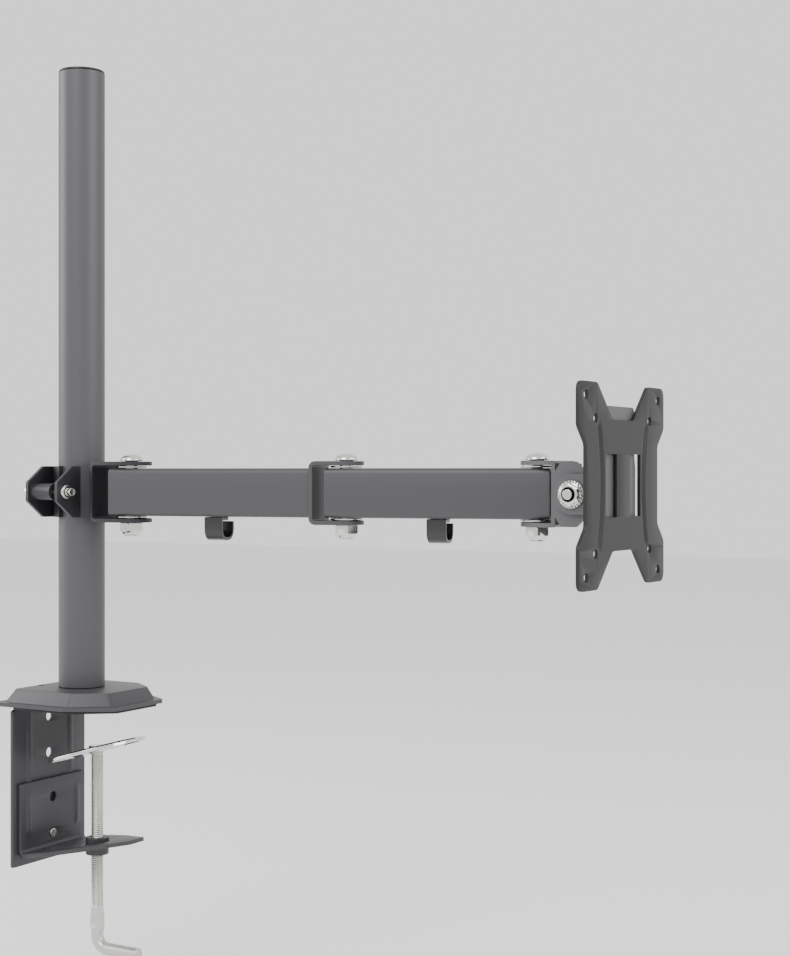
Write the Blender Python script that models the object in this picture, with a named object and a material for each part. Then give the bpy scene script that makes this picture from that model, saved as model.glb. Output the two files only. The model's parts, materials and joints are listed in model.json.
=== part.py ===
"""Desk-clamp monitor arm: pole, collar, two links, swivel and tilt head. Metres, +Z up.

The origin is on the pole's axis at the desk surface. +X points over the desk, -Y is the near side."""

import math

import bmesh
import bpy
from mathutils import Matrix, Vector

GAP = 0.0003  # clearance between pieces that touch

# Pole and base
POLE_R = 0.015
POLE_WALL = 0.0015
POLE_LENGTH = 0.400
PAD_T = 0.0015
SHEET = 0.0025
BOSS_H = 0.008
BASE_REAR = -0.038
BASE_FRONT = 0.048
BASE_HALF_W = 0.042
BASE_FRONT_HALF_W = 0.024
BASE_CHAMFER_X = 0.020
BASE_CORNER_R = 0.004
BOSS_MARGIN = 0.0045
BOSS_SLOPE = 0.0045
POLE_BOLT_R = 0.005

# Back plate and jaw
BACK_X = -0.0273  # front face of the back plate, against the desk's edge
BACK_HALF_W = 0.035
BACK_BOTTOM = -0.103
JAW_HALF_W = 0.031
JAW_TOP = -0.0495
JAW_BOTTOM = -0.098
JAW_TIP_X = 0.046
JAW_TIP_HALF_W = 0.006
JAW_RISE = math.radians(10)
JAW_HOLE_R = 0.003
JAW_SCREW_Z = -0.086

# Clamp screw
SCREW_X = 0.013
SCREW_R = 0.004
SCREW_TOP = -0.0295
SCREW_BEND_Z = -0.1565
HANDLE_LENGTH = 0.034
HANDLE_BEND_R = 0.006
EYE_Z = -0.1395
EYE_R = 0.0055
BUSH_R = 0.0075
DISC_R = 0.032
DISC_T = 0.002
DISC_DEPTH = 0.003
DISC_TILT = math.radians(-16)

# Arms
ARM_Z = 0.1396
TUBE_H = 0.030
TUBE_W = 0.025
TUBE_WALL = 0.0015
TUBE_CORNER_R = 0.003
TUBE_OVERHANG = 0.010  # tube end beyond a pivot's axis
COLLAR_REACH = 0.047
ARM_1_LENGTH = 0.147
ARM_2_LENGTH = 0.118
COLLAR_YAW = math.radians(-8)
ARM_1_YAW = math.radians(18)
ARM_2_YAW = math.radians(3)
HEAD_YAW = math.radians(-14.5)
CLIP_PLACE = 0.42  # share of a link's length where its clip sits
CLIP_W = 0.012
CLIP_SPAN = 0.018
CLIP_DEPTH = 0.0145
CLIP_T = 0.002

# Pivots
BOLT_R = 0.004
BORE_R = BOLT_R + GAP
SLEEVE_R = 0.006
HEAD_R = 0.007
HEAD_H = 0.0044
NUT_AF = 0.013
NUT_H = 0.0075
WASHER_R = 0.0097
WASHER_T = 0.0012
EAR_INNER = TUBE_H / 2 + WASHER_T + 2 * GAP
EAR_OUTER = EAR_INNER + SHEET
WEB_OFFSET = 0.0195  # pivot axis to a bracket's web

# Collar
CLAMP_H = 0.033
FLANGE_TIP = 0.033
FLANGE_FULL = 0.020
FLANGE_TIP_H = 0.012
REAR_FLANGE_X = -0.0165
FRONT_FLANGE_X = 0.0115
CLAMP_SCREW_Y = 0.026
CLAMP_SCREW_R = 0.0026
CLAMP_SLEEVE_R = 0.0054
SADDLE_T = 0.0028
WEB_X = COLLAR_REACH - 0.0235

# Head
TILT_X = 0.033
PLATE_ROUND = 0.0048
CHEEK_Y = 0.0185
CHEEK_H = 0.0374
CHEEK_T = 0.0022
TILT_EAR_R = 0.0115
TILT_BOLT_R = 0.003
TILT_WASHER_T = 0.0008
TILT_WASHER_R = 0.010
SERRATED_R = 0.0083
PLATE_REACH = 0.022  # tilt axis to the plate's front
PLATE_T = 0.002
PLATE_UP = 0.005
PLATE_HALF = 0.059
VALLEY = 0.037
VALLEY_HALF = 0.0145
WAIST_HALF = 0.0495
WAIST_RISE = 0.023
HORN_IN = 0.035
VESA_LARGE = 0.100
VESA_SMALL = 0.075
VESA_HOLE_R = 0.0027
OPENING_X = 0.0165
OPENING_HALF_W = 0.0075
OPENING_HALF_H = 0.0178
TAB_HALF_W = 0.0205
TAB_TOP = 0.045
TAB_BOTTOM = -0.030

STEPS = 20  # sides of a washer, bush or sleeve
SMALL_STEPS = 16  # sides of a small round piece
LARGE_STEPS = 32  # sides of the pole and the disc


def material(name, color, roughness, metallic):
    made = bpy.data.materials.new(name)
    made.use_nodes = True
    shader = made.node_tree.nodes["Principled BSDF"]
    shader.inputs["Base Color"].default_value = (*color, 1)
    shader.inputs["Roughness"].default_value = roughness
    shader.inputs["Metallic"].default_value = metallic
    return made


def powder(name):
    return material(name, (0.045, 0.045, 0.048), 0.55, 0.1)


def zinc(name):
    return material(name, (0.62, 0.61, 0.58), 0.3, 1.0)


def plastic(name):
    return material(name, (0.02, 0.02, 0.022), 0.35, 0.0)


def finish(name, bm, look, parent=None):
    """Turns a bmesh into a named object with its own material, under its joint's empty."""
    bmesh.ops.recalc_face_normals(bm, faces=bm.faces)
    mesh = bpy.data.meshes.new(name)
    bm.to_mesh(mesh)
    bm.free()
    obj = bpy.data.objects.new(name, mesh)
    bpy.context.scene.collection.objects.link(obj)
    obj.data.materials.append(look(name))
    obj.data.shade_smooth()
    obj.data.set_sharp_from_angle(angle=math.radians(35))
    obj.parent = parent
    return obj


def boolean(obj, cutter, operation="DIFFERENCE"):
    cutter.hide_render = True
    cutter.display_type = "WIRE"
    cutter.parent = obj.parent
    modifier = obj.modifiers.new(f"{operation.lower()}_{cutter.name}", "BOOLEAN")
    modifier.object = cutter
    modifier.operation = operation
    modifier.solver = "EXACT"


def cut(obj, bm, operation="DIFFERENCE"):
    boolean(obj, finish(f"{obj.name}_shape_{len(obj.modifiers)}", bm, plastic), operation)


def box(low, high):
    bm = bmesh.new()
    low, high = Vector(low), Vector(high)
    bmesh.ops.create_cube(
        bm, size=1, matrix=Matrix.Translation((low + high) / 2) @ Matrix.Diagonal((*(high - low), 1))
    )
    return bm


def prism(outline, low, high, axis="Z"):
    """An outline extruded from low to high along an axis; the outline's two numbers are the other two axes in order."""
    place = {"X": lambda a, b, c: (c, a, b), "Y": lambda a, b, c: (a, c, b), "Z": lambda a, b, c: (a, b, c)}[axis]
    bm = bmesh.new()
    bottom = [bm.verts.new(place(a, b, low)) for a, b in outline]
    top = [bm.verts.new(place(a, b, high)) for a, b in outline]
    bm.faces.new(bottom)
    bm.faces.new(top)
    for i, vert in enumerate(bottom):
        j = (i + 1) % len(bottom)
        bm.faces.new((vert, bottom[j], top[j], top[i]))
    return bm


def turned(profile, steps=STEPS, start=(0, 0, 0), axis="Z"):
    """A closed (radius, height) profile turned about an axis through start."""
    bm = bmesh.new()
    rings = []
    for radius, height in profile:
        if radius < 1e-9:
            rings.append([bm.verts.new((0, 0, height))] * steps)
            continue
        turn = [2 * math.pi * k / steps for k in range(steps)]
        rings.append([bm.verts.new((radius * math.cos(t), radius * math.sin(t), height)) for t in turn])
    closed = profile[0][0] > 1e-9
    pairs = list(zip(rings, rings[1:] + rings[:1])) if closed else list(zip(rings, rings[1:]))
    for first, second in pairs:
        for k in range(steps):
            corners = (first[k], first[(k + 1) % steps], second[(k + 1) % steps], second[k])
            unique = list(dict.fromkeys(corners))
            if len(unique) > 2:
                bm.faces.new(unique)
    turn_to = {"X": Matrix.Rotation(math.pi / 2, 4, "Y"), "Y": Matrix.Rotation(-math.pi / 2, 4, "X")}
    bm.transform(Matrix.Translation(start) @ turn_to.get(axis, Matrix.Identity(4)))
    return bm


def rod(radius, low, high, start=(0, 0, 0), axis="Z", steps=STEPS):
    return turned([(0, low), (radius, low), (radius, high), (0, high)], steps, start, axis)


def ring(outer, inner, low, high, start=(0, 0, 0), axis="Z", steps=STEPS):
    return turned([(inner, low), (outer, low), (outer, high), (inner, high)], steps, start, axis)


def rounded(corners, radius, steps=4):
    """The corner points of a convex or concave outline, each replaced by an arc of the given radius."""
    points = []
    for i, corner in enumerate(corners):
        here = Vector(corner)
        back = (Vector(corners[i - 1]) - here).normalized()
        on = (Vector(corners[(i + 1) % len(corners)]) - here).normalized()
        half = back.angle(on) / 2
        reach = radius / math.tan(half)
        middle = here + (back + on).normalized() * radius / math.sin(half)
        first, last = here + back * reach - middle, here + on * reach - middle
        sweep = first.angle_signed(last)
        for k in range(steps + 1):
            arm = Matrix.Rotation(-sweep * k / steps, 2) @ first
            points.append(tuple(middle + arm))
    return points


def empty(name, place, yaw=0.0, parent=None):
    made = bpy.data.objects.new(name, None)
    bpy.context.scene.collection.objects.link(made)
    made.location = place
    made.rotation_euler = (0, 0, yaw)
    made.parent = parent
    return made


def base_outline(inset):
    front = BASE_FRONT_HALF_W - inset * 0.5
    wide = BASE_HALF_W - inset
    return rounded(
        [(BASE_REAR + inset, wide), (BASE_REAR + inset, -wide), (BASE_CHAMFER_X, -wide),
         (BASE_FRONT - inset, -front), (BASE_FRONT - inset, front), (BASE_CHAMFER_X, wide)],
        BASE_CORNER_R,
    )


def make_base():
    bottom = PAD_T + GAP
    foot, shoulder = BOSS_MARGIN, BOSS_MARGIN + BOSS_SLOPE
    top = bottom + SHEET + BOSS_H
    outer = base_outline(0)
    hole_r = POLE_BOLT_R + GAP
    first = math.atan2(outer[0][1], outer[0][0])
    turn = [first + 2 * math.pi * k / len(outer) for k in range(len(outer))]
    hole = [(hole_r * math.cos(t), hole_r * math.sin(t)) for t in turn]
    sections = [
        (outer, bottom + SHEET), (base_outline(foot), bottom + SHEET), (base_outline(shoulder), top),
        (hole, top), (hole, top - SHEET), (base_outline(shoulder + SHEET * 0.7), top - SHEET),
        (base_outline(foot + SHEET * 0.7), bottom), (outer, bottom),
    ]
    bm = bmesh.new()
    rings = [[bm.verts.new((x, y, z)) for x, y in points] for points, z in sections]
    for first, second in zip(rings, rings[1:] + rings[:1]):
        for k in range(len(first)):
            j = (k + 1) % len(first)
            bm.faces.new((first[k], first[j], second[j], second[k]))
    base = finish("base_plate", bm, powder)
    cut(base, rod(0.0022, bottom, top + 0.01, (-0.0265, -0.0095, 0), steps=SMALL_STEPS))
    pad = finish("desk_pad", prism(rounded(
        [(0.046, 0.020), (0.020, 0.040), (BACK_X + 0.003, 0.040), (BACK_X + 0.003, -0.040), (0.020, -0.040),
         (0.046, -0.020)], 0.003), 0, PAD_T), plastic)
    return base, pad, top


def make_pole(foot):
    low = foot + GAP
    high = low + POLE_LENGTH
    inner = POLE_R - POLE_WALL
    finish("pole_tube", ring(POLE_R, inner, low, high, steps=LARGE_STEPS), powder)
    finish("pole_cap", turned([(0, high - 0.012), (inner - GAP, high - 0.012), (inner - GAP, high + GAP),
                               (POLE_R, high + GAP), (POLE_R - 0.0005, high + 0.0016), (0, high + 0.0016)], LARGE_STEPS), plastic)
    plug_r = POLE_BOLT_R + GAP
    finish("pole_plug", ring(inner - GAP, plug_r, low, low + 0.010), zinc)
    head = foot - SHEET - GAP - 0.0015 - GAP
    finish("pole_washer", ring(0.0085, plug_r, head + GAP, head + GAP + 0.0015), zinc)
    finish("pole_bolt", turned([(0, head - 0.004), (0.0075, head - 0.004), (0.0075, head), (POLE_BOLT_R, head),
                                (POLE_BOLT_R, low + 0.014), (0, low + 0.014)], SMALL_STEPS), zinc)


def make_back_plate():
    """A vertical plate whose top is bent forward into the boss's hollow."""
    back = BACK_X - SHEET
    lift = 0.0075
    leg = -0.014
    side = [(back, BACK_BOTTOM), (BACK_X, BACK_BOTTOM)]
    side += [(BACK_X + 0.0015 - 0.0015 * math.cos(t), lift - SHEET - 0.0015 + 0.0015 * math.sin(t))
             for t in (0, math.pi / 4, math.pi / 2)]
    side += [(leg, lift - SHEET), (leg, lift)]
    side += [(back + 0.004 - 0.004 * math.sin(t), lift - 0.004 + 0.004 * math.cos(t))
             for t in (0, math.pi / 6, math.pi / 3, math.pi / 2)]
    wide = BACK_HALF_W
    plate = finish("back_plate", prism(side, -wide, wide, "Y"), powder)
    narrow = wide - 0.007
    shoulder = PAD_T + GAP - 0.001
    face = rounded([(-wide, BACK_BOTTOM), (wide, BACK_BOTTOM), (wide, shoulder - 0.003), (narrow, shoulder),
                    (narrow, 0.02), (-narrow, 0.02), (-narrow, shoulder), (-wide, shoulder - 0.003)], 0.001)
    cut(plate, prism(face, -0.05, 0.0, "X"), "INTERSECT")
    for z in (-0.009, -0.033, -0.057, JAW_SCREW_Z):
        cut(plate, rod(JAW_HOLE_R + GAP, -0.05, 0.0, (0, 0, z), "X", SMALL_STEPS))
    return plate


def jaw_rise(x):
    return JAW_BOTTOM + (x - BACK_X) * math.tan(JAW_RISE)


def make_jaw():
    back = BACK_X + GAP
    front = back + SHEET
    bend = 0.005
    low = jaw_rise(back + bend)
    side = [(front, JAW_TOP), (back, JAW_TOP)]
    side += [(back + bend - bend * math.cos(t), low + bend - bend * math.sin(t))
             for t in [math.radians(k) for k in (0, 20, 40, 60, 80)]]
    side += [(JAW_TIP_X, jaw_rise(JAW_TIP_X)), (JAW_TIP_X, jaw_rise(JAW_TIP_X) + SHEET)]
    inner = 0.0025
    side += [(front + inner - inner * math.sin(t), low + SHEET + inner - inner * math.cos(t) + 0.0004)
             for t in [math.radians(k) for k in (10, 40, 70, 90)]]
    jaw = finish("lower_jaw", prism(side, -JAW_HALF_W, JAW_HALF_W, "Y"), powder)
    plan = [(BACK_X - 0.002, -JAW_HALF_W - 0.001), (-0.004, -JAW_HALF_W - 0.001), (0.022, -0.021),
            (JAW_TIP_X + 0.001, -JAW_TIP_HALF_W), (JAW_TIP_X + 0.001, JAW_TIP_HALF_W), (0.022, 0.021),
            (-0.004, JAW_HALF_W + 0.001), (BACK_X - 0.002, JAW_HALF_W + 0.001)]
    cut(jaw, prism(rounded(plan, 0.0008, 2), BACK_BOTTOM - 0.02, JAW_TOP + 0.02), "INTERSECT")
    for z in (-0.062, JAW_SCREW_Z):
        cut(jaw, rod(JAW_HOLE_R + GAP, -0.05, 0.0, (0, 0, z), "X", SMALL_STEPS))
    cut(jaw, rod(BUSH_R + GAP, BACK_BOTTOM - 0.02, JAW_TOP, (SCREW_X, 0, 0)))
    back_x = BACK_X - SHEET - GAP
    finish("jaw_screw", turned([(0, back_x - 0.003), (0.0055, back_x - 0.0015), (0.0055, back_x),
                                (JAW_HOLE_R, back_x), (JAW_HOLE_R, front + 0.0005), (0, front + 0.0005)],
                               SMALL_STEPS, (0, 0, JAW_SCREW_Z), "X"), zinc)
    middle = jaw_rise(SCREW_X) + SHEET / 2
    finish("screw_bush", ring(BUSH_R, SCREW_R + GAP, middle - 0.006, middle + 0.005, (SCREW_X, 0, 0)), powder)


def make_clamp(travel, tilt, turn):
    """Disc, its swaged cup, and the screw with a flattened eye and a bent handle."""
    cup_low = 0.0008
    finish("ball_cup", turned([(0, cup_low), (0.0030, cup_low), (0.0030, 0.0030), (0.0058, 0.0030),
                               (0.0052, 0.0042), (0, 0.0048)], SMALL_STEPS), zinc, travel)
    hole = 0.0045
    disc = [(hole, DISC_T - 0.0012), (0.014, DISC_T - 0.0012), (0.017, DISC_DEPTH), (DISC_R - 0.001, DISC_DEPTH),
            (DISC_R, DISC_DEPTH - 0.001), (DISC_R, 0.0002), (DISC_R - 0.0016, 0.0002),
            (DISC_R - 0.0018, DISC_DEPTH - 0.0016), (0.0175, DISC_DEPTH - 0.0016), (0.0145, -0.0006), (hole, -0.0006)]
    finish("pressure_disc", turned(disc, LARGE_STEPS), zinc, tilt)
    low = SCREW_BEND_Z - SCREW_TOP
    route = [(0.0, 0.0)]
    route += [(HANDLE_BEND_R - HANDLE_BEND_R * math.cos(t), low + HANDLE_BEND_R - HANDLE_BEND_R * math.sin(t))
              for t in [math.radians(k) for k in (0, 22.5, 45, 67.5, 90)]]
    route += [(HANDLE_LENGTH, low)]
    bm = bmesh.new()
    rings = []
    tangents = [Vector((0, 0, -1))] + [Vector((math.sin(math.radians(k)), 0, -math.cos(math.radians(k))))
                                       for k in (0, 22.5, 45, 67.5, 90)] + [Vector((1, 0, 0))]
    for (x, z), along in zip(route, tangents):
        side = Vector((0, 1, 0))
        other = along.cross(side)
        rings.append([bm.verts.new(Vector((x, 0, z)) + SCREW_R * (side * math.cos(t) + other * math.sin(t)))
                      for t in [2 * math.pi * k / SMALL_STEPS for k in range(SMALL_STEPS)]])
    for first, second in zip(rings, rings[1:]):
        for k in range(SMALL_STEPS):
            bm.faces.new((first[k], first[(k + 1) % SMALL_STEPS], second[(k + 1) % SMALL_STEPS], second[k]))
    bm.faces.new(rings[0])
    bm.faces.new(rings[-1])
    screw = finish("clamp_screw", bm, zinc, turn)
    eye = EYE_Z - SCREW_TOP
    cut(screw, rod(EYE_R, -SCREW_R + 0.0005, SCREW_R - 0.0005, (0, 0, eye), "Y", SMALL_STEPS), "UNION")


def flange_outline(side):
    """The five-sided ear of a collar half, in Y and Z; side is -1 near and 1 far."""
    full, tip = CLAMP_H / 2, FLANGE_TIP_H / 2
    points = [(0.008, -full), (FLANGE_FULL, -full), (FLANGE_TIP, -tip), (FLANGE_TIP, tip), (FLANGE_FULL, full),
              (0.008, full)]
    return [(side * y, z) for y, z in rounded(points, 0.0015)]


def make_collar(collar):
    inner = POLE_R + GAP
    outer = inner + SADDLE_T
    half = CLAMP_H / 2
    turn = [math.radians(95 + 170 * k / 20) for k in range(21)]
    saddle = [(outer * math.cos(t), outer * math.sin(t)) for t in turn]
    saddle += [(inner * math.cos(t), inner * math.sin(t)) for t in reversed(turn)]
    rear = finish("rear_collar", prism(saddle, -half, half), powder, collar)
    front_y = 0.0135
    step = FRONT_FLANGE_X + 0.0065
    channel = [(FRONT_FLANGE_X, front_y - 0.001), (FRONT_FLANGE_X + SHEET, front_y), (step + SHEET, front_y - 0.004),
               (step + SHEET, -front_y + 0.004), (FRONT_FLANGE_X + SHEET, -front_y), (FRONT_FLANGE_X, -front_y + 0.001)]
    channel += [(step - 0.001, -front_y + 0.006), (step - 0.001, front_y - 0.006)]
    front = finish("front_collar", prism(channel, -half, half), powder, collar)
    for side in (-1, 1):
        y = side * CLAMP_SCREW_Y
        cut(rear, prism(flange_outline(side), REAR_FLANGE_X, REAR_FLANGE_X + SHEET, "X"), "UNION")
        cut(rear, rod(CLAMP_SLEEVE_R, REAR_FLANGE_X + 0.001, 0.004, (0, y, 0), "X", SMALL_STEPS), "UNION")
        cut(front, prism(flange_outline(side), FRONT_FLANGE_X, FRONT_FLANGE_X + SHEET, "X"), "UNION")
    cut(rear, rod(inner, -half - 0.01, half + 0.01, steps=LARGE_STEPS))
    cut(front, rod(inner, -half - 0.01, half + 0.01, steps=LARGE_STEPS))
    for side, tag in ((-1, "near"), (1, "far")):
        y = side * CLAMP_SCREW_Y
        for piece in (rear, front):
            cut(piece, rod(CLAMP_SCREW_R + GAP, -0.05, 0.05, (0, y, 0), "X", SMALL_STEPS))
        head = REAR_FLANGE_X - GAP
        finish(f"collar_screw_{tag}", turned(
            [(0, head - 0.005), (0.0038, head - 0.005), (0.0042, head - 0.0045), (0.0042, head),
             (CLAMP_SCREW_R, head), (CLAMP_SCREW_R, 0.0205), (0, 0.0205)], SMALL_STEPS, (0, y, 0), "X"), zinc, collar)
        seat = FRONT_FLANGE_X + SHEET + GAP
        finish(f"collar_nut_{tag}", turned(
            [(CLAMP_SCREW_R + GAP, seat), (0.0048, seat), (0.0044, seat + 0.0016), (CLAMP_SCREW_R + GAP, seat + 0.0016)],
            SMALL_STEPS, (0, y, 0), "X"), zinc, collar)


def c_bracket(name, web, tip, ear_r, half_w, parent):
    """Two ears joined by a web. The web's outer face is at x = web; the ears end in a round about the pivot at tip."""
    sign = 1 if tip > web else -1
    bend = 0.004
    arc = [math.radians(k) for k in (0, 30, 60, 90)]
    outer = [(web + sign * (bend - bend * math.cos(t)), EAR_OUTER - bend + bend * math.sin(t)) for t in arc]
    end = tip + sign * (ear_r + 0.002)
    inner_r = bend - SHEET
    inner = [(web + sign * (bend - inner_r * math.cos(t)), EAR_OUTER - bend + inner_r * math.sin(t)) for t in arc]
    side = outer[::-1] + [(x, -z) for x, z in outer] + [(end, -EAR_OUTER), (end, -EAR_INNER)]
    side += [(x, -z) for x, z in inner[::-1]] + inner + [(end, EAR_INNER), (end, EAR_OUTER)]
    bracket = finish(name, prism(side, -half_w, half_w, "Y"), powder, parent)
    turn = [-math.pi / 2 + math.pi * k / 16 for k in range(17)]
    plan = [(tip + sign * ear_r * math.cos(t), ear_r * math.sin(t)) for t in turn]
    plan += [(web + sign * 0.008, half_w + 0.001), (web - sign * 0.001, half_w + 0.001),
             (web - sign * 0.001, -half_w - 0.001), (web + sign * 0.008, -half_w - 0.001)]
    cut(bracket, prism(plan, -EAR_OUTER - 0.01, EAR_OUTER + 0.01), "INTERSECT")
    cut(bracket, rod(BORE_R, -0.05, 0.05, (tip, 0, 0), steps=SMALL_STEPS))
    return bracket


def make_pivot(number, parent, place):
    """Domed bolt, lock nut and two washers that stay with the bracket's ears."""
    seat = EAR_OUTER + GAP
    nut = -EAR_OUTER - GAP
    end = nut - NUT_H - 0.001
    dome = [(HEAD_R * math.cos(t), seat + 0.0008 + (HEAD_H - 0.0008) * math.sin(t))
            for t in [math.radians(k) for k in (0, 20, 40, 60, 78)]]
    finish(f"pivot_bolt_{number}", turned(
        [(0, end), (BOLT_R, end), (BOLT_R, seat), (HEAD_R, seat)] + dome + [(0, seat + HEAD_H)], SMALL_STEPS,
        (place, 0, 0)), zinc, parent)
    flats = [(place + NUT_AF / math.sqrt(3) * math.cos(math.pi * k / 3), NUT_AF / math.sqrt(3) * math.sin(math.pi * k / 3))
             for k in range(6)]
    nut_piece = finish(f"lock_nut_{number}", prism(flats, nut - NUT_H, nut), zinc, parent)
    cone = NUT_AF / math.sqrt(3)
    cut(nut_piece, turned([(0, nut - NUT_H - 0.001), (0.0046, nut - NUT_H - 0.001), (0.0052, nut - NUT_H),
                           (0.0062, nut - NUT_H + 0.0018), (cone + 0.0002, nut - NUT_H + 0.0028), (cone + 0.0002, nut - 0.0008),
                           (cone - 0.0009, nut + 0.001), (0, nut + 0.001)], STEPS, (place, 0, 0)), "INTERSECT")
    cut(nut_piece, rod(BORE_R, -0.05, 0.0, (place, 0, 0), steps=SMALL_STEPS))
    for level, sign in (("upper", 1), ("lower", -1)):
        near, far = sorted((sign * (TUBE_H / 2 + GAP), sign * (TUBE_H / 2 + GAP + WASHER_T)))
        finish(f"{level}_washer_{number}", ring(WASHER_R, BORE_R, near, far, (place, 0, 0)), zinc, parent)


def make_sleeve(number, parent, place):
    half = TUBE_H / 2 - TUBE_WALL - GAP
    finish(f"pivot_sleeve_{number}", ring(SLEEVE_R, BORE_R, -half, half, (place, 0, 0), steps=SMALL_STEPS), zinc, parent)


def make_tube(name, low, high, bores, parent):
    """A rectangular tube along X, open at both ends, with a bore for each pivot."""
    def section(inset):
        y, z = TUBE_W / 2 - inset, TUBE_H / 2 - inset
        return rounded([(-y, -z), (y, -z), (y, z), (-y, z)], TUBE_CORNER_R - inset * 0.8, 3)

    tube = finish(name, prism(section(0), low, high, "X"), powder, parent)
    cut(tube, prism(section(TUBE_WALL), low - 0.01, high + 0.01, "X"))
    for place in bores:
        cut(tube, rod(BORE_R, -0.05, 0.05, (place, 0, 0), steps=SMALL_STEPS))


def make_clip(number, parent, place):
    """An open loop under the tube, fixed on the near side; its far end stays clear of the tube."""
    top = -TUBE_H / 2 - GAP
    low = top - CLIP_DEPTH
    half = CLIP_SPAN / 2
    bend = 0.007
    arc = [math.pi / 2 * k / 5 for k in range(6)]

    def loop(inset):
        near = [(-half + bend - (bend - inset) * math.cos(t), low + bend - (bend - inset) * math.sin(t)) for t in arc]
        far = [(half - bend + (bend - inset) * math.sin(t), low + bend - (bend - inset) * math.cos(t)) for t in arc]
        return near + far

    lip = top - 0.0028
    outline = [(-half, top)] + loop(0) + [(half, lip), (half - CLIP_T, lip)] + loop(CLIP_T)[::-1]
    outline += [(-half + CLIP_T, top - CLIP_T), (0.001, top - CLIP_T), (0.001, top)]
    finish(f"cable_clip_{number}", prism(outline, place - CLIP_W / 2, place + CLIP_W / 2, "X"), plastic, parent)


def make_arms(collar, arm_1, arm_2, swivel):
    c_bracket("root_bracket", WEB_X, COLLAR_REACH, 0.0130, 0.0145, collar)
    make_pivot(1, collar, COLLAR_REACH)
    web_1 = ARM_1_LENGTH - WEB_OFFSET
    make_tube("arm_1_tube", -TUBE_OVERHANG, web_1 - GAP, (0,), arm_1)
    make_sleeve(1, arm_1, 0)
    c_bracket("elbow_bracket", web_1, ARM_1_LENGTH, 0.0108, 0.0135, arm_1)
    make_clip(1, arm_1, ARM_1_LENGTH * CLIP_PLACE)
    make_pivot(2, arm_1, ARM_1_LENGTH)
    make_tube("arm_2_tube", -TUBE_OVERHANG, ARM_2_LENGTH + TUBE_OVERHANG, (0, ARM_2_LENGTH), arm_2)
    make_sleeve(2, arm_2, 0)
    make_sleeve(3, arm_2, ARM_2_LENGTH)
    make_clip(2, arm_2, ARM_2_LENGTH * 0.5)
    make_pivot(3, swivel, 0)


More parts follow.
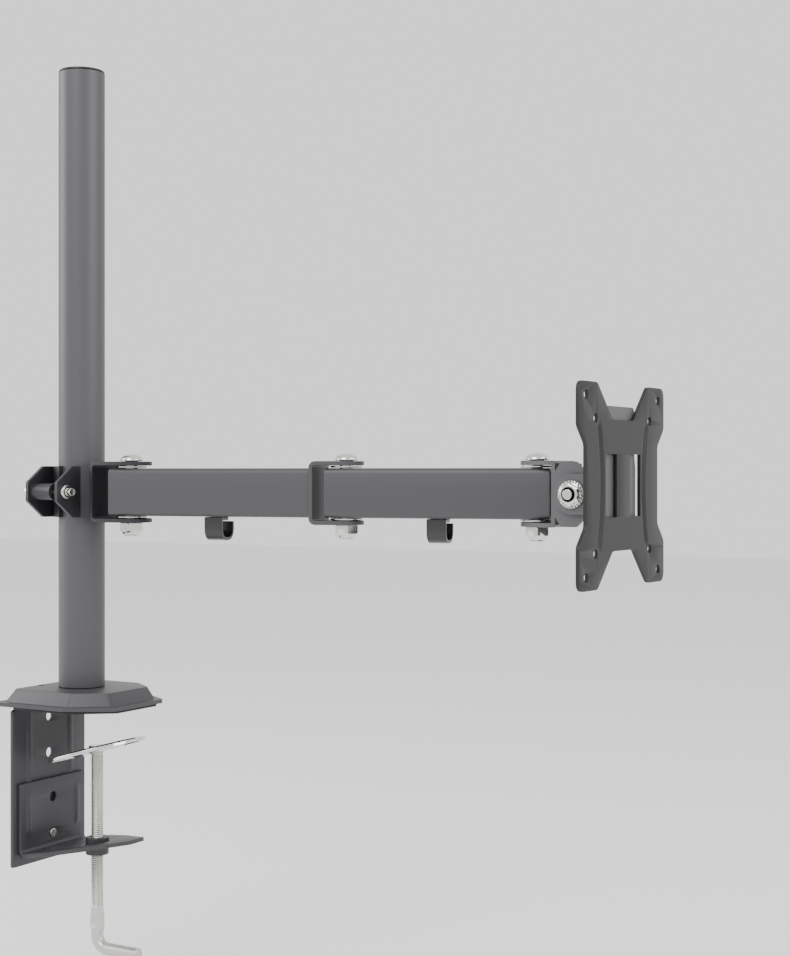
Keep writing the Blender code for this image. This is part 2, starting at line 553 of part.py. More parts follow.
def make_head(swivel, tilt):
    """Swivel bracket with ears behind and cheeks in front; tilt bracket outside the cheeks; the plate on its front."""
    web = TILT_X - 0.0125
    bracket = c_bracket("swivel_bracket", web, 0, 0.0096, 0.0145, swivel)
    half = CHEEK_H / 2
    cheek = [(web - 0.0015, -half + 0.008), (web + 0.004, -half), (TILT_X + 0.001, -half), (TILT_X + 0.009, -half + 0.008),
             (TILT_X + 0.009, half - 0.008), (TILT_X + 0.001, half), (web + 0.004, half), (web - 0.0015, half - 0.008)]
    cheek = rounded(cheek, 0.002)
    for side in (-1, 1):
        low, high = sorted((side * (CHEEK_Y - CHEEK_T), side * CHEEK_Y))
        cut(bracket, prism(cheek, low, high, "Y"), "UNION")
    cut(bracket, box((web - SHEET, -CHEEK_Y + 0.0005, -half + 0.001), (web, CHEEK_Y - 0.0005, half - 0.001)), "UNION")
    cut(bracket, rod(TILT_BOLT_R + GAP, -0.05, 0.05, (TILT_X, 0, 0), "Y", SMALL_STEPS))

    back = PLATE_REACH - PLATE_T - GAP - SHEET  # the tilt plate's rear face, from the tilt axis
    ear_y = CHEEK_Y + TILT_WASHER_T + 2 * GAP
    turn = [math.pi / 2 + math.pi * k / 12 for k in range(13)]
    ear = [(TILT_EAR_R * math.cos(t), TILT_EAR_R * math.sin(t)) for t in turn]
    ear += [(back + 0.001, -TILT_EAR_R), (back + 0.001, TILT_EAR_R)]
    plate_half = ear_y + CHEEK_T
    face = rounded([(-plate_half, TAB_BOTTOM), (plate_half, TAB_BOTTOM), (plate_half, TILT_EAR_R + 0.004),
                    (TAB_HALF_W, TILT_EAR_R + 0.012), (TAB_HALF_W, TAB_TOP + PLATE_UP),
                    (-TAB_HALF_W, TAB_TOP + PLATE_UP), (-TAB_HALF_W, TILT_EAR_R + 0.012),
                    (-plate_half, TILT_EAR_R + 0.004)], 0.003)
    bracket = finish("tilt_bracket", prism(face, back, back + SHEET, "X"), powder, tilt)
    for side in (-1, 1):
        low, high = sorted((side * ear_y, side * (ear_y + CHEEK_T)))
        cut(bracket, prism(ear, low, high, "Y"), "UNION")
    lug_z = TAB_TOP + PLATE_UP - 0.0035
    lug_reach = back - 0.0115
    cut(bracket, box((lug_reach, -0.008, lug_z - 0.002), (back + 0.001, 0.008, lug_z)), "UNION")
    cut(bracket, rod(TILT_BOLT_R + GAP, -0.05, 0.05, (0, 0, 0), "Y", SMALL_STEPS))
    lock_x = back - 0.0062
    cut(bracket, rod(0.0022, lug_z - 0.01, lug_z + 0.01, (lock_x, 0, 0), steps=SMALL_STEPS))
    finish("lock_screw", turned([(0, lug_z - 0.007), (0.0019, lug_z - 0.007), (0.0019, lug_z + GAP),
                                 (0.0042, lug_z + GAP), (0.0040, lug_z + 0.0020), (0.0028, lug_z + 0.0034),
                                 (0, lug_z + 0.0039)], SMALL_STEPS, (lock_x, 0, 0)), zinc, tilt)

    outer = ear_y + CHEEK_T + GAP
    finish("tilt_nut", turned([(TILT_BOLT_R + GAP, -outer), (TILT_BOLT_R + GAP, -outer - 0.0048), (0.0042, -outer - 0.0048),
                               (0.0046, -outer - 0.0014), (SERRATED_R, -outer - 0.0010), (SERRATED_R, -outer)],
                              STEPS, (0, 0, 0), "Y"), zinc, tilt)
    finish("tilt_bolt", turned([(0, -outer - 0.0060), (TILT_BOLT_R, -outer - 0.0060), (TILT_BOLT_R, outer),
                                (0.0062, outer), (0.0058, outer + 0.0022), (0.0036, outer + 0.0034), (0, outer + 0.0038)],
                               SMALL_STEPS, (0, 0, 0), "Y"), zinc, tilt)
    for side, tag in ((-1, "near"), (1, "far")):
        low, high = sorted((side * (CHEEK_Y + GAP), side * (CHEEK_Y + GAP + TILT_WASHER_T)))
        finish(f"tilt_washer_{tag}", ring(TILT_WASHER_R, TILT_BOLT_R + GAP, low, high, axis="Y"), plastic, tilt)
    make_vesa_plate(tilt)


def make_vesa_plate(tilt):
    """A butterfly plate with both hole squares and two tall openings."""
    full, waist = PLATE_HALF, WAIST_HALF
    quarter = [(waist, WAIST_RISE), (full, WAIST_RISE + 0.010), (full, full - 0.0015), (HORN_IN, full - 0.0015),
               (VALLEY_HALF, VALLEY)]
    outline = quarter + [(-y, z) for y, z in quarter[::-1]]
    outline += [(-y, -z) for y, z in quarter] + [(y, -z) for y, z in quarter[::-1]]
    front = PLATE_REACH
    face = [(y, z + PLATE_UP) for y, z in rounded(outline, PLATE_ROUND, 3)]
    plate = finish("vesa_plate", prism(face, front - PLATE_T, front, "X"), powder, tilt)
    for spacing in (VESA_LARGE, VESA_SMALL):
        for y in (-spacing / 2, spacing / 2):
            for z in (-spacing / 2, spacing / 2):
                cut(plate, rod(VESA_HOLE_R, front - 0.01, front + 0.01, (0, y, z + PLATE_UP), "X", SMALL_STEPS))
    for side in (-1, 1):
        y = side * OPENING_X
        cut(plate, box((front - 0.01, y - OPENING_HALF_W, PLATE_UP - OPENING_HALF_H),
                       (front + 0.01, y + OPENING_HALF_W, PLATE_UP + OPENING_HALF_H)))


def main():
    for obj in list(bpy.data.objects):
        bpy.data.objects.remove(obj)
    foot = make_base()[2]
    make_pole(foot)
    make_back_plate()
    make_jaw()
    travel = empty("clamp_travel_axis", (SCREW_X, 0, SCREW_TOP))
    tilt = empty("disc_tilt_axis", (0, 0, 0), parent=travel)
    tilt.rotation_euler = (0, DISC_TILT, 0)
    turn = empty("clamp_turn_axis", (0, 0, 0), parent=travel)
    make_clamp(travel, tilt, turn)
    collar = empty("collar_axis", (0, 0, ARM_Z), COLLAR_YAW)
    arm_1 = empty("arm_1_axis", (COLLAR_REACH, 0, 0), ARM_1_YAW, collar)
    arm_2 = empty("arm_2_axis", (ARM_1_LENGTH, 0, 0), ARM_2_YAW, arm_1)
    swivel = empty("swivel_axis", (ARM_2_LENGTH, 0, 0), HEAD_YAW, arm_2)
    head_tilt = empty("tilt_axis", (TILT_X, 0, 0), 0, swivel)
    make_collar(collar)
    make_arms(collar, arm_1, arm_2, swivel)
    make_head(swivel, head_tilt)


main()
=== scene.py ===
"""Finish and stage for a desk-clamp monitor arm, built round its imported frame."""

import json
import math

import bmesh
import bpy
import numpy as np
from mathutils import Matrix, Vector


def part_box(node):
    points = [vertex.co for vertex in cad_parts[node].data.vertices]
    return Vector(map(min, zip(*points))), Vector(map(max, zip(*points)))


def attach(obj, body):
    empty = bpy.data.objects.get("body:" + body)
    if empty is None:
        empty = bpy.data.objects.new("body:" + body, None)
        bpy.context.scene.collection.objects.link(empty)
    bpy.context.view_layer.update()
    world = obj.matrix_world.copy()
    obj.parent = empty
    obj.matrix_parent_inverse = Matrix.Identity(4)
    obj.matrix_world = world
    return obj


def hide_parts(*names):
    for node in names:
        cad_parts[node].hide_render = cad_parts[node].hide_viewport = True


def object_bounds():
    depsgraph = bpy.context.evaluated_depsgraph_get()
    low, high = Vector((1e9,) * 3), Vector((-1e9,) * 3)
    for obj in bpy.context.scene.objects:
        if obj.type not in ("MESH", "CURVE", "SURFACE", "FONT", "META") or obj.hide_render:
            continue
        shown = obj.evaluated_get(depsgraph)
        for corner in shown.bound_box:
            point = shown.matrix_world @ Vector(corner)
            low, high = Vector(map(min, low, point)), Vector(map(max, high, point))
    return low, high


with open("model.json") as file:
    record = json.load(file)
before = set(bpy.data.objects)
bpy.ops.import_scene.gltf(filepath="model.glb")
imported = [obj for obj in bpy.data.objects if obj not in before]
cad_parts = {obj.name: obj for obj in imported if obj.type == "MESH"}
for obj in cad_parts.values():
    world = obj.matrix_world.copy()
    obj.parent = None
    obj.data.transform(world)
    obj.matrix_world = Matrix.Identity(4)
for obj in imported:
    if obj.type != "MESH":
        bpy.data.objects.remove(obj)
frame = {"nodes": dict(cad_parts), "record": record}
CAD_BOX = [list(map(float, corner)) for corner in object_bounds()]

bl_info = {
    "name": "Monitor Arm",
    "version": (1, 0, 0),
    "blender": (4, 5, 0),
    "location": "View3D > Sidebar > Monitor Arm",
    "description": "Builds the detailed pieces, finishes and stage of a desk-clamp monitor arm",
    "category": "Object",
}

JOINTS = {joint["name"]: joint for joint in frame["record"]["behaviour"]["joints"]}
BODY_OF = {node: body for body, nodes in frame["record"]["behaviour"]["bodies"].items() for node in nodes}
SLOT_OF = {part["node"]: part["material_slot"] for part in frame["record"]["subparts"]}

WIDE_EDGES = {"base_plate": 0.0011, "arm_1_tube": 0.0007, "arm_2_tube": 0.0007, "rear_collar": 0.0007}
BUILT_APART = {"vesa_plate", "back_plate", "lower_jaw", "clamp_screw", "tilt_nut"}
WELD = 2e-6
SHEARED_ANGLE = math.radians(38)
SLICE_ACROSS = 0.0007
SLICE_ALONG = 0.0016


def middle(node):
    """The middle of a CAD node's box."""
    low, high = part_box(node)
    return (Vector(low) + Vector(high)) / 2


# ---------------------------------------------------------------- properties


class MonitorArmSizes(bpy.types.PropertyGroup):
    """Sizes of the fine detail that a user would change."""

    edge: bpy.props.FloatProperty(
        name="Edge round", description="Round on sheared edges", default=0.0004, unit="LENGTH")
    pitch: bpy.props.FloatProperty(
        name="Thread pitch", description="Pitch of the clamp screw", default=0.00125, unit="LENGTH")
    thread_depth: bpy.props.FloatProperty(
        name="Thread depth", description="Depth of the clamp screw's thread", default=0.00055, unit="LENGTH")
    rib: bpy.props.FloatProperty(
        name="Rib height", description="Height of the stamped ribs", default=0.0012, unit="LENGTH")
    grain: bpy.props.FloatProperty(
        name="Coat grain", description="Grains per metre in the powder coat", default=1100.0)


class MonitorArmColours(bpy.types.PropertyGroup):
    """Colours of the finishes."""

    pole: bpy.props.FloatVectorProperty(name="Pole", description="Powder coat on the pole", subtype="COLOR",
                                        default=(0.013, 0.013, 0.0145))
    steel: bpy.props.FloatVectorProperty(name="Steel", description="Powder coat on the pressed steel",
                                         subtype="COLOR", default=(0.0075, 0.0075, 0.008))
    plate: bpy.props.FloatVectorProperty(name="Plate", description="Satin coat on the mounting plate",
                                         subtype="COLOR", default=(0.004, 0.004, 0.0045))
    zinc: bpy.props.FloatVectorProperty(name="Zinc", description="Bright plating", subtype="COLOR",
                                        default=(0.66, 0.65, 0.62))


# ------------------------------------------------------------- shader maths


class Value:
    """A shader socket that adds Math nodes when it is used in an expression."""

    def __init__(self, maker, socket):
        self.maker, self.socket = maker, socket

    def _math(self, operation, first, second):
        return self.maker.add("ShaderNodeMath", {"operation": operation}, {0: first, 1: second})

    def __add__(self, other):
        return self._math("ADD", self, other)

    __radd__ = __add__

    def __sub__(self, other):
        return self._math("SUBTRACT", self, other)

    def __rsub__(self, other):
        return self._math("SUBTRACT", other, self)

    def __mul__(self, other):
        return self._math("MULTIPLY", self, other)

    __rmul__ = __mul__


class Finish:
    """A Principled material whose nodes are added by one method."""

    def __init__(self, name):
        self.material = bpy.data.materials.new(name)
        self.material.use_nodes = True
        self.tree = self.material.node_tree
        self.shader = self.tree.nodes["Principled BSDF"]
        self.place = self.tree.nodes.new("ShaderNodeTexCoord").outputs["Object"]

    def link(self, target, value):
        if isinstance(value, Value):
            value = value.socket
        if isinstance(value, bpy.types.NodeSocket):
            self.tree.links.new(value, target)
        else:
            target.default_value = value

    def add(self, kind, settings, inputs, output=0):
        """One node of a type, with its settings first and then the values or links of its sockets."""
        node = self.tree.nodes.new(kind)
        for name, value in settings.items():
            setattr(node, name, value)
        for key, value in inputs.items():
            self.link(node.inputs[key], value)
        return Value(self, node.outputs[output])

    def noise(self, scale, detail=2.0, stretch=(1, 1, 1)):
        at = self.add("ShaderNodeMapping", {}, {"Vector": self.place, "Scale": stretch})
        return self.add("ShaderNodeTexNoise", {}, {"Vector": at, "Scale": scale, "Detail": detail}, "Fac")

    def blend(self, mask, first, second):
        """A colour between two colours by a mask."""
        return self.add("ShaderNodeMix", {"data_type": "RGBA"},
                        {0: mask, 6: (*first, 1), 7: (*second, 1)}, 2)

    def step(self, value, low, high):
        """0 below low, 1 above high and a smooth climb between."""
        return self.add("ShaderNodeMapRange", {"interpolation_type": "SMOOTHSTEP"},
                        {"Value": value, "From Min": low, "From Max": high})

    def set(self, **sockets):
        for name, value in sockets.items():
            self.link(self.shader.inputs[name.replace("_", " ")], value)
        return self.material

    def bump(self, height, strength, distance):
        return self.add("ShaderNodeBump", {}, {"Height": height, "Strength": strength, "Distance": distance})


def lighter(colour, times):
    return tuple(min(1.0, channel * times) for channel in colour)


def powder_coat(name, colour, roughness=0.5, relief=0.45):
    """Sprayed powder: fine orange-peel grain, faint clouding and a painted highlight on the highest grains.
    """
    grain_scale = bpy.context.scene.monitor_arm_sizes.grain
    finish = Finish(name)
    grain = finish.noise(grain_scale, 3.0)
    peel = finish.noise(grain_scale * 0.35, 2.0)
    cloud = finish.noise(22.0, 3.0)
    # Painted highlight: the grains that stand highest in the bump are painted lighter.
    grain_peak_highlight = finish.step(grain, 0.60, 0.78)
    tone = finish.blend(grain_peak_highlight * 0.55 + cloud * 0.25, colour, lighter(colour, 2.1))
    rough = cloud * 0.14 + grain * 0.16 + (roughness - 0.15)
    height = grain * 0.7 + peel * 0.6
    finish.shader.inputs["Specular IOR Level"].default_value = 0.22
    return finish.set(Base_Color=tone, Roughness=rough, Normal=finish.bump(height, relief, 0.00018))


def plated(name, colour, roughness=0.24):
    """Bright zinc: metal with fine drawn lines, cloudy passivation and dull spots."""
    finish = Finish(name)
    lines = finish.noise(900.0, 2.0, (1, 1, 6))
    cloud = finish.noise(120.0, 4.0)
    tone = finish.blend(finish.step(cloud, 0.35, 0.7), lighter(colour, 0.72), lighter(colour, 1.25))
    rough = cloud * 0.22 + lines * 0.12 + (roughness - 0.14)
    finish.set(Base_Color=tone, Roughness=rough, Normal=finish.bump(lines * 0.6 + cloud * 0.4, 0.18, 0.0001))
    finish.shader.inputs["Metallic"].default_value = 1.0
    return finish.material


def moulded(name, colour, roughness=0.22):
    """Glossy moulded plastic: faint flow marks and fine scuffs."""
    finish = Finish(name)
    flow = finish.noise(60.0, 2.0, (1, 1, 3))
    scuff = finish.step(finish.noise(700.0, 4.0, (5, 1, 1)), 0.62, 0.75)
    tone = finish.blend(flow * 0.4, colour, lighter(colour, 1.8))
    rough = scuff * 0.25 + flow * 0.10 + (roughness - 0.05)
    return finish.set(Base_Color=tone, Roughness=rough, Normal=finish.bump(flow, 0.1, 0.0002))


def foamed(name, colour):
    """Closed-cell foam: round pores with painted shade in their hollows and a matt skin."""
    finish = Finish(name)
    cells = finish.add("ShaderNodeTexVoronoi", {}, {"Vector": finish.place, "Scale": 900.0}, "Distance")
    # Painted shade: the colour darkens toward each pore's middle, where the bump sinks.
    tone = finish.blend(cells, lighter(colour, 0.6), lighter(colour, 2.0))
    return finish.set(Base_Color=tone, Roughness=cells * 0.1 + 0.82, Normal=finish.bump(cells, 0.5, 0.0003))


def make_finish(slot):
    colours = bpy.context.scene.monitor_arm_colours
    pole, steel, plate, zinc = (tuple(c) for c in (colours.pole, colours.steel, colours.plate, colours.zinc))
    # Painted light and shade: one steel coat is made lighter or darker per part, darkest on the collar and
    # lightest on the head.
    made = {
        "powder_pole": lambda: powder_coat(slot, pole, 0.50, 0.6),
        "powder_base": lambda: powder_coat(slot, lighter(steel, 1.25), 0.46, 0.35),
        "powder_clamp": lambda: powder_coat(slot, lighter(steel, 1.1), 0.48, 0.35),
        "powder_collar": lambda: powder_coat(slot, lighter(steel, 0.6), 0.42, 0.3),
        "powder_arm": lambda: powder_coat(slot, lighter(steel, 1.15), 0.50, 0.5),
        "powder_head": lambda: powder_coat(slot, lighter(steel, 1.6), 0.52, 0.6),
        "powder_plate": lambda: powder_coat(slot, plate, 0.40, 0.22),
        "zinc": lambda: plated(slot, zinc),
        "zinc_disc": lambda: plated(slot, lighter(zinc, 1.1), 0.2),
        "zinc_screw": lambda: plated(slot, lighter(zinc, 0.9), 0.34),
        "plastic_black": lambda: moulded(slot, (0.004, 0.004, 0.0045)),
        "foam": lambda: foamed(slot, (0.02, 0.02, 0.02)),
    }
    return bpy.data.materials.get(slot) or made[slot]()


# -------------------------------------------------------------------- meshes


def add_piece(name, mesh, node, sharp=35):
    """Links a finished mesh as a piece on its CAD node's body and gives it that node's finish."""
    mesh.shade_smooth()
    mesh.set_sharp_from_angle(angle=math.radians(sharp))
    piece = bpy.data.objects.new(name, mesh)
    bpy.context.scene.collection.objects.link(piece)
    mesh.materials.clear()
    mesh.materials.append(make_finish(SLOT_OF[node]))
    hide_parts(node)
    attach(piece, BODY_OF[node])
    return piece


def refine(node, width=None):
    """A merged copy of a CAD node with its flats rejoined and its sheared edges rounded to a width."""
    source = frame["nodes"][node]
    bm = bmesh.new()
    bm.from_mesh(source.data)
    bmesh.ops.transform(bm, matrix=source.matrix_world, verts=bm.verts)
    bmesh.ops.remove_doubles(bm, verts=bm.verts, dist=WELD)
    bmesh.ops.dissolve_limit(bm, angle_limit=math.radians(1), verts=bm.verts, edges=bm.edges)
    bmesh.ops.recalc_face_normals(bm, faces=bm.faces)
    mesh = bpy.data.meshes.new(f"{node}_finished")
    bm.to_mesh(mesh)
    bm.free()
    piece = add_piece(f"{node}_finished", mesh, node)
    edge = piece.modifiers.new("edge_round", "BEVEL")
    edge.width = width or bpy.context.scene.monitor_arm_sizes.edge
    edge.segments = 3 if width else 2
    edge.limit_method = "ANGLE"
    edge.angle_limit = SHEARED_ANGLE
    edge.harden_normals = True
    edge.use_clamp_overlap = True
    return piece


def refine_group(*slots):
    """Refines every node whose slot's name starts with one of these and that has no piece of its own."""
    for node, slot in SLOT_OF.items():
        if slot.startswith(slots) and node not in BUILT_APART:
            refine(node, WIDE_EDGES.get(node))


def grid_mesh(name, points, caps=False):
    """A mesh from points[u, v, xyz] that closes on itself along v; its two open ends may get caps."""
    rows, columns = points.shape[:2]
    index = np.arange(rows * columns).reshape(rows, columns)
    first, after = index[:-1], index[1:]
    around = (first, np.roll(first, -1, axis=1), np.roll(after, -1, axis=1), after)
    faces = np.stack(around, axis=-1).reshape(-1, 4).tolist()
    if caps:
        faces += [index[0][::-1].tolist(), index[-1].tolist()]
    mesh = bpy.data.meshes.new(name)
    mesh.from_pydata(points.reshape(-1, 3).tolist(), [], faces)
    bm = bmesh.new()
    bm.from_mesh(mesh)
    bmesh.ops.remove_doubles(bm, verts=bm.verts, dist=1e-7)
    bmesh.ops.recalc_face_normals(bm, faces=bm.faces)
    bm.to_mesh(mesh)
    bm.free()
    return mesh


def pressed(node, cuts, depth_at, along, direction):
    """A copy of a CAD sheet, sliced finely along two axes and pressed by depth_at(points) along a direction.

    cuts is [(axis, low, high, step), ...], and along is the matrix from the row frame to the sheet's own.
    """
    source = frame["nodes"][node]
    bm = bmesh.new()
    bm.from_mesh(source.data)
    bmesh.ops.transform(bm, matrix=along @ source.matrix_world, verts=bm.verts)
    bmesh.ops.remove_doubles(bm, verts=bm.verts, dist=WELD)
    bmesh.ops.dissolve_limit(bm, angle_limit=math.radians(1), verts=bm.verts, edges=bm.edges)
    rims = [edge for edge in bm.edges if edge.is_manifold and edge.calc_face_angle(0) > SHEARED_ANGLE]
    bmesh.ops.bevel(bm, geom=rims, offset=0.0003, segments=2, affect="EDGES", clamp_overlap=True, profile=0.5)
    for axis, low, high, step in cuts:
        normal = Vector([float(k == axis) for k in range(3)])
        for at in np.arange(low, high, step):
            bmesh.ops.bisect_plane(bm, geom=bm.verts[:] + bm.edges[:] + bm.faces[:], dist=1e-7,
                                   plane_co=normal * float(at), plane_no=normal)
    mesh = bpy.data.meshes.new(f"{node}_finished")
    bm.to_mesh(mesh)
    bm.free()
    points = np.empty(len(mesh.vertices) * 3, np.float32)
    mesh.vertices.foreach_get("co", points)
    points = points.reshape(-1, 3)
    points += depth_at(points)[:, None] * np.array(direction)
    mesh.vertices.foreach_set("co", points.ravel())
    mesh.transform(along.inverted())
    return add_piece(f"{node}_finished", mesh, node, sharp=30)


def rib(across, along, half_width, half_length):
    """A round-topped rib: cos^2 across its width, times a smooth fade over its last few millimetres."""
    width = np.cos(np.clip(across / half_width, -1, 1) * math.pi / 2) ** 2
    fade = np.clip((half_length - np.abs(along)) / 0.005, 0, 1)
    return width * fade * fade * (3 - 2 * fade)


# -------------------------------------------------------------------- pieces


class Piece:
    """An operator that builds part of the scene and can be undone."""

    bl_options = {"REGISTER", "UNDO"}


class MONITORARM_OT_screw(Piece, bpy.types.Operator):
    """Clamp screw with a rolled thread, a flattened eye and a bent handle"""

    bl_idname = "monitor_arm.screw"
    bl_label = "Clamp screw"

    def execute(self, context):
        sizes = context.scene.monitor_arm_sizes
        low, high = (Vector(corner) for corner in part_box("clamp_screw"))
        radius = 0.004
        axis_x, rod_z = low.x + 0.0055, low.z + radius
        bend, eye_z = 0.0085, low.z + 0.021
        straight = high.z - rod_z - bend
        total = straight + bend * math.pi / 2 + high.x - axis_x - bend
        s = np.unique(np.concatenate([np.arange(0, straight, sizes.pitch / 10),
                                      np.linspace(straight, total, 60)]))[:, None]
        turn = np.linspace(0, 2 * math.pi, 25)[None, :-1]
        # The centre line goes down, round a quarter circle of the bend's radius and out along +X.
        angle = np.clip((s - straight) / bend, 0, math.pi / 2)
        x = axis_x + bend * (1 - np.cos(angle)) + np.clip(s - straight - bend * math.pi / 2, 0, None)
        z = high.z - np.minimum(s, straight) - bend * np.sin(angle)
        # r = radius - depth * (1 - |wave|), where the wave climbs one pitch for each turn round the axis.
        wave = np.abs(((s / sizes.pitch + turn / (2 * math.pi)) % 1.0) * 2 - 1)
        threaded = np.clip(np.minimum(s, high.z - eye_z - 0.0095 - s) / sizes.pitch, 0, 1)
        r = radius - sizes.thread_depth * (1 - wave) * threaded
        # The eye spreads the bar along X and thins it along Y, with a round dimple in its middle.
        near = np.clip(1 - ((high.z - s - eye_z) / 0.0075) ** 2, 0, 1) * (s < straight)
        wide = r * np.cos(turn) * (1 + 0.36 * near)
        dimple = np.clip(1 - ((high.z - s - eye_z) ** 2 + wide ** 2) / 0.0034 ** 2, 0, 1) ** 0.5
        thin = r * np.sin(turn) * (1 - 0.16 * near) * (1 - 0.30 * dimple)
        end = np.sqrt(np.clip(1 - np.clip((s - total + 0.0012) / 0.0012, 0, 1) ** 2 * 0.35, 0, 1))
        points = np.stack([x + wide * end * np.cos(angle), thin * end + 0 * x,
                           z + wide * end * np.sin(angle)], axis=-1)
        mesh = grid_mesh("clamp_screw_finished", points, caps=True)
        add_piece("clamp_screw_finished", mesh, "clamp_screw", sharp=60)
        return {"FINISHED"}


class MONITORARM_OT_mounting_plate(Piece, bpy.types.Operator):
    """Mounting plate with its two bowed ribs pressed in and its rims rolled"""

    bl_idname = "monitor_arm.mounting_plate"
    bl_label = "Mounting plate"

    def execute(self, context):
        depth = context.scene.monitor_arm_sizes.rib
        axis = JOINTS["head_tilt"]["axis"]
        yaw = math.atan2(-axis[0], axis[1])
        waist, bow, reach = 0.0285, 0.0048, 0.036
        along = (Matrix.Translation(middle("vesa_plate")) @ Matrix.Rotation(yaw, 4, "Z")).inverted()

        def bowed(points):
            """|y| = waist + bow * (z / reach)^2, pressed in away from the display."""
            y, z = points[:, 1], points[:, 2]
            spine = waist + bow * (z / reach) ** 2
            return -depth * rib(np.abs(y) - spine, z, 0.0033, 0.037)

        cuts = [(1, side * 0.030 - 0.0060, side * 0.030 + 0.0085, SLICE_ACROSS) for side in (-1, 1)]
        pressed("vesa_plate", cuts + [(2, -0.0385, 0.0385, SLICE_ALONG)], bowed, along, (1, 0, 0))
        return {"FINISHED"}


class MONITORARM_OT_clamp_sheets(Piece, bpy.types.Operator):
    """Back plate and lower jaw with their stiffening ribs"""

    bl_idname = "monitor_arm.clamp_sheets"
    bl_label = "Clamp sheets"

    def execute(self, context):
        depth = context.scene.monitor_arm_sizes.rib
        for node, spread, half_width, top, bottom in (("back_plate", 0.0200, 0.0040, 0.006, 0.008),
                                                      ("lower_jaw", 0.0235, 0.0034, 0.006, 0.012)):
            low, high = (Vector(corner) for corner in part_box(node))
            centre, half = (high.z - top + low.z + bottom) / 2, (high.z - top - low.z - bottom) / 2
            back = low.x + 0.004

            def upright(points):
                """Two straight ribs on the sheet's upright part only."""
                here = rib(np.abs(points[:, 1]) - spread, points[:, 2] - centre, half_width, half)
                return depth * here * (points[:, 0] < back)

            cuts = [(1, middle_line - half_width, middle_line + half_width, SLICE_ACROSS)
                    for middle_line in (-spread, spread)]
            cuts += [(2, low.z + bottom, high.z - top, SLICE_ALONG)]
            pressed(node, cuts, upright, Matrix(), (1, 0, 0))
        return {"FINISHED"}


class MONITORARM_OT_tilt_nut(Piece, bpy.types.Operator):
    """Flange nut with radial teeth on its skirt and a chamfered hexagon"""

    bl_idname = "monitor_arm.tilt_nut"
    bl_label = "Serrated nut"

    def execute(self, context):
        out = -Vector(JOINTS["head_tilt"]["axis"])
        low, high = (Vector(corner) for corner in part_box("tilt_nut"))
        height = (high.y - low.y) / abs(out.y) * 0.9
        place = middle("tilt_nut") - out * height / 2
        # Each row is radius, height, how hexagonal the ring is and how far its teeth stand up.
        rows = np.array([
            (0.0042, 0.0, 0, 0), (0.0078, 0.0, 0, 0), (0.0082, 0.0004, 0, 0), (0.0081, 0.0011, 0, 0),
            (0.0077, 0.0013, 0, 1), (0.0070, 0.0016, 0, 1), (0.0066, 0.0017, 0, 0),
            (0.0060, 0.0019, 1, 0), (0.0060, height - 0.0009, 1, 0), (0.0056, height - 0.0002, 0.3, 0),
            (0.0051, height, 0, 0), (0.0043, height, 0, 0), (0.0040, height - 0.0006, 0, 0),
        ])
        r, z, hexagonal, toothed = (rows[:, k][:, None] for k in range(4))
        turn = np.linspace(0, 2 * math.pi, 192, endpoint=False)
        # Across flats of a hexagon: r / cos(angle from the nearest flat's middle).
        flat = 1 / np.cos((turn + math.pi / 6) % (math.pi / 3) - math.pi / 6)
        z = z + 0.0004 * toothed * np.clip(np.sin(24 * turn) * 3, -1, 1)
        r = r * (1 + hexagonal * (flat - 1))
        basis = np.array(Vector((0, 0, 1)).rotation_difference(out).to_matrix())
        local = np.stack([r * np.cos(turn), r * np.sin(turn), z], axis=-1)
        mesh = grid_mesh("tilt_nut_finished", local @ basis.T + np.array(place))
        add_piece("tilt_nut_finished", mesh, "tilt_nut")
        return {"FINISHED"}


class MONITORARM_OT_steelwork(Piece, bpy.types.Operator):
    """Pole, base, collar, arms and brackets, with rounded sheared edges"""

    bl_idname = "monitor_arm.steelwork"
    bl_label = "Steelwork"

    def execute(self, context):
        refine_group("powder")
        return {"FINISHED"}


class MONITORARM_OT_fasteners(Piece, bpy.types.Operator):
    """Plated bolts, nuts, washers and disc, with chamfered edges"""

    bl_idname = "monitor_arm.fasteners"
    bl_label = "Fasteners"

    def execute(self, context):
        refine_group("zinc")
        return {"FINISHED"}


class MONITORARM_OT_plastics(Piece, bpy.types.Operator):
    """Cable clips, caps, sleeves and the desk pad"""

    bl_idname = "monitor_arm.plastics"
    bl_label = "Clips and pad"

    def execute(self, context):
        refine_group("plastic", "foam")
        return {"FINISHED"}


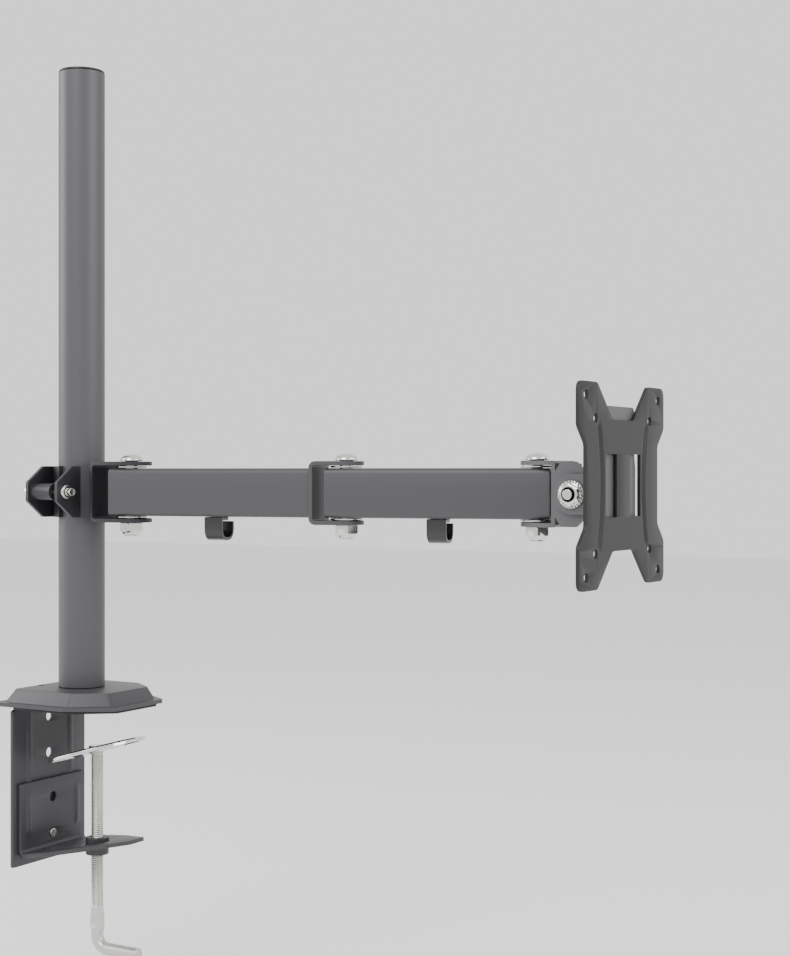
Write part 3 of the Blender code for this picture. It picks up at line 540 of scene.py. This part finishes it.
class MONITORARM_OT_stage(Piece, bpy.types.Operator):
    """Pale floor, soft lights and the camera"""

    bl_idname = "monitor_arm.stage"
    bl_label = "Stage"

    def execute(self, context):
        scene = context.scene
        low = Vector(CAD_BOX[0])
        paper = Finish("paper")
        fibre = paper.noise(350.0, 4.0)
        paper.set(Base_Color=paper.blend(fibre, (0.86, 0.86, 0.86), (0.90, 0.90, 0.90)),
                  Roughness=fibre * 0.1 + 0.8)
        floor = bpy.data.meshes.new("floor")
        size, z = 6.0, low.z + JOINTS["clamp_travel"]["range_m"][0] - 0.0005
        floor.from_pydata([(-size, -size, z), (size, -size, z), (size, size, z), (-size, size, z)], [],
                          [(0, 1, 2, 3)])
        floor.materials.append(paper.material)
        stage = [bpy.data.objects.new("floor", floor)]
        world = bpy.data.worlds.new("studio")
        world.use_nodes = True
        world.node_tree.nodes["Background"].inputs["Color"].default_value = (1, 1, 1, 1)
        world.node_tree.nodes["Background"].inputs["Strength"].default_value = 1.25
        scene.world = world
        aim = Vector((0.17, 0.02, 0.05))
        lamps = (("key", (0.2, -1.6, 1.5), 1.2, 26), ("left", (-1.6, -0.6, 0.7), 1.0, 18),
                 ("right", (1.7, 0.2, 0.9), 1.0, 14))
        for name, place, side, power in lamps:
            lamp = bpy.data.lights.new(name, "AREA")
            lamp.shape, lamp.size, lamp.energy = "SQUARE", side, power
            light = bpy.data.objects.new(name, lamp)
            light.location = place
            light.rotation_euler = (aim - Vector(place)).to_track_quat("-Z", "Y").to_euler()
            stage.append(light)
        lens = bpy.data.cameras.new("camera")
        lens.lens = 64.0
        lens.sensor_fit = "VERTICAL"
        lens.sensor_height = 36.0
        lens.shift_y = -0.0063
        lens.clip_start = 0.05
        camera = bpy.data.objects.new("camera", lens)
        camera.location = (0.7328, -0.8598, 0.1523)
        camera.rotation_euler = (math.radians(90), 0, math.radians(30))
        stage.append(camera)
        for thing in stage:
            scene.collection.objects.link(thing)
        scene.camera = camera
        return {"FINISHED"}


class VIEW3D_PT_monitor_arm(bpy.types.Panel):
    """Buttons for each step and the sizes and colours they read"""

    bl_label = "Monitor Arm"
    bl_space_type = "VIEW_3D"
    bl_region_type = "UI"
    bl_category = "Monitor Arm"

    def draw(self, context):
        for group in (context.scene.monitor_arm_sizes, context.scene.monitor_arm_colours):
            for name in group.__annotations__:
                self.layout.prop(group, name)
        for step in STEPS:
            self.layout.operator(step.bl_idname)


STEPS = (MONITORARM_OT_steelwork, MONITORARM_OT_mounting_plate, MONITORARM_OT_clamp_sheets,
         MONITORARM_OT_screw, MONITORARM_OT_tilt_nut, MONITORARM_OT_fasteners, MONITORARM_OT_plastics,
         MONITORARM_OT_stage)
CLASSES = (MonitorArmSizes, MonitorArmColours, *STEPS, VIEW3D_PT_monitor_arm)


def register():
    for cls in CLASSES:
        bpy.utils.register_class(cls)
    bpy.types.Scene.monitor_arm_sizes = bpy.props.PointerProperty(type=MonitorArmSizes)
    bpy.types.Scene.monitor_arm_colours = bpy.props.PointerProperty(type=MonitorArmColours)


def unregister():
    del bpy.types.Scene.monitor_arm_colours, bpy.types.Scene.monitor_arm_sizes
    for cls in reversed(CLASSES):
        bpy.utils.unregister_class(cls)


def main():
    register()
    for step in STEPS:
        category, name = step.bl_idname.split(".")
        getattr(getattr(bpy.ops, category), name)()


if __name__ == "__main__":
    main()
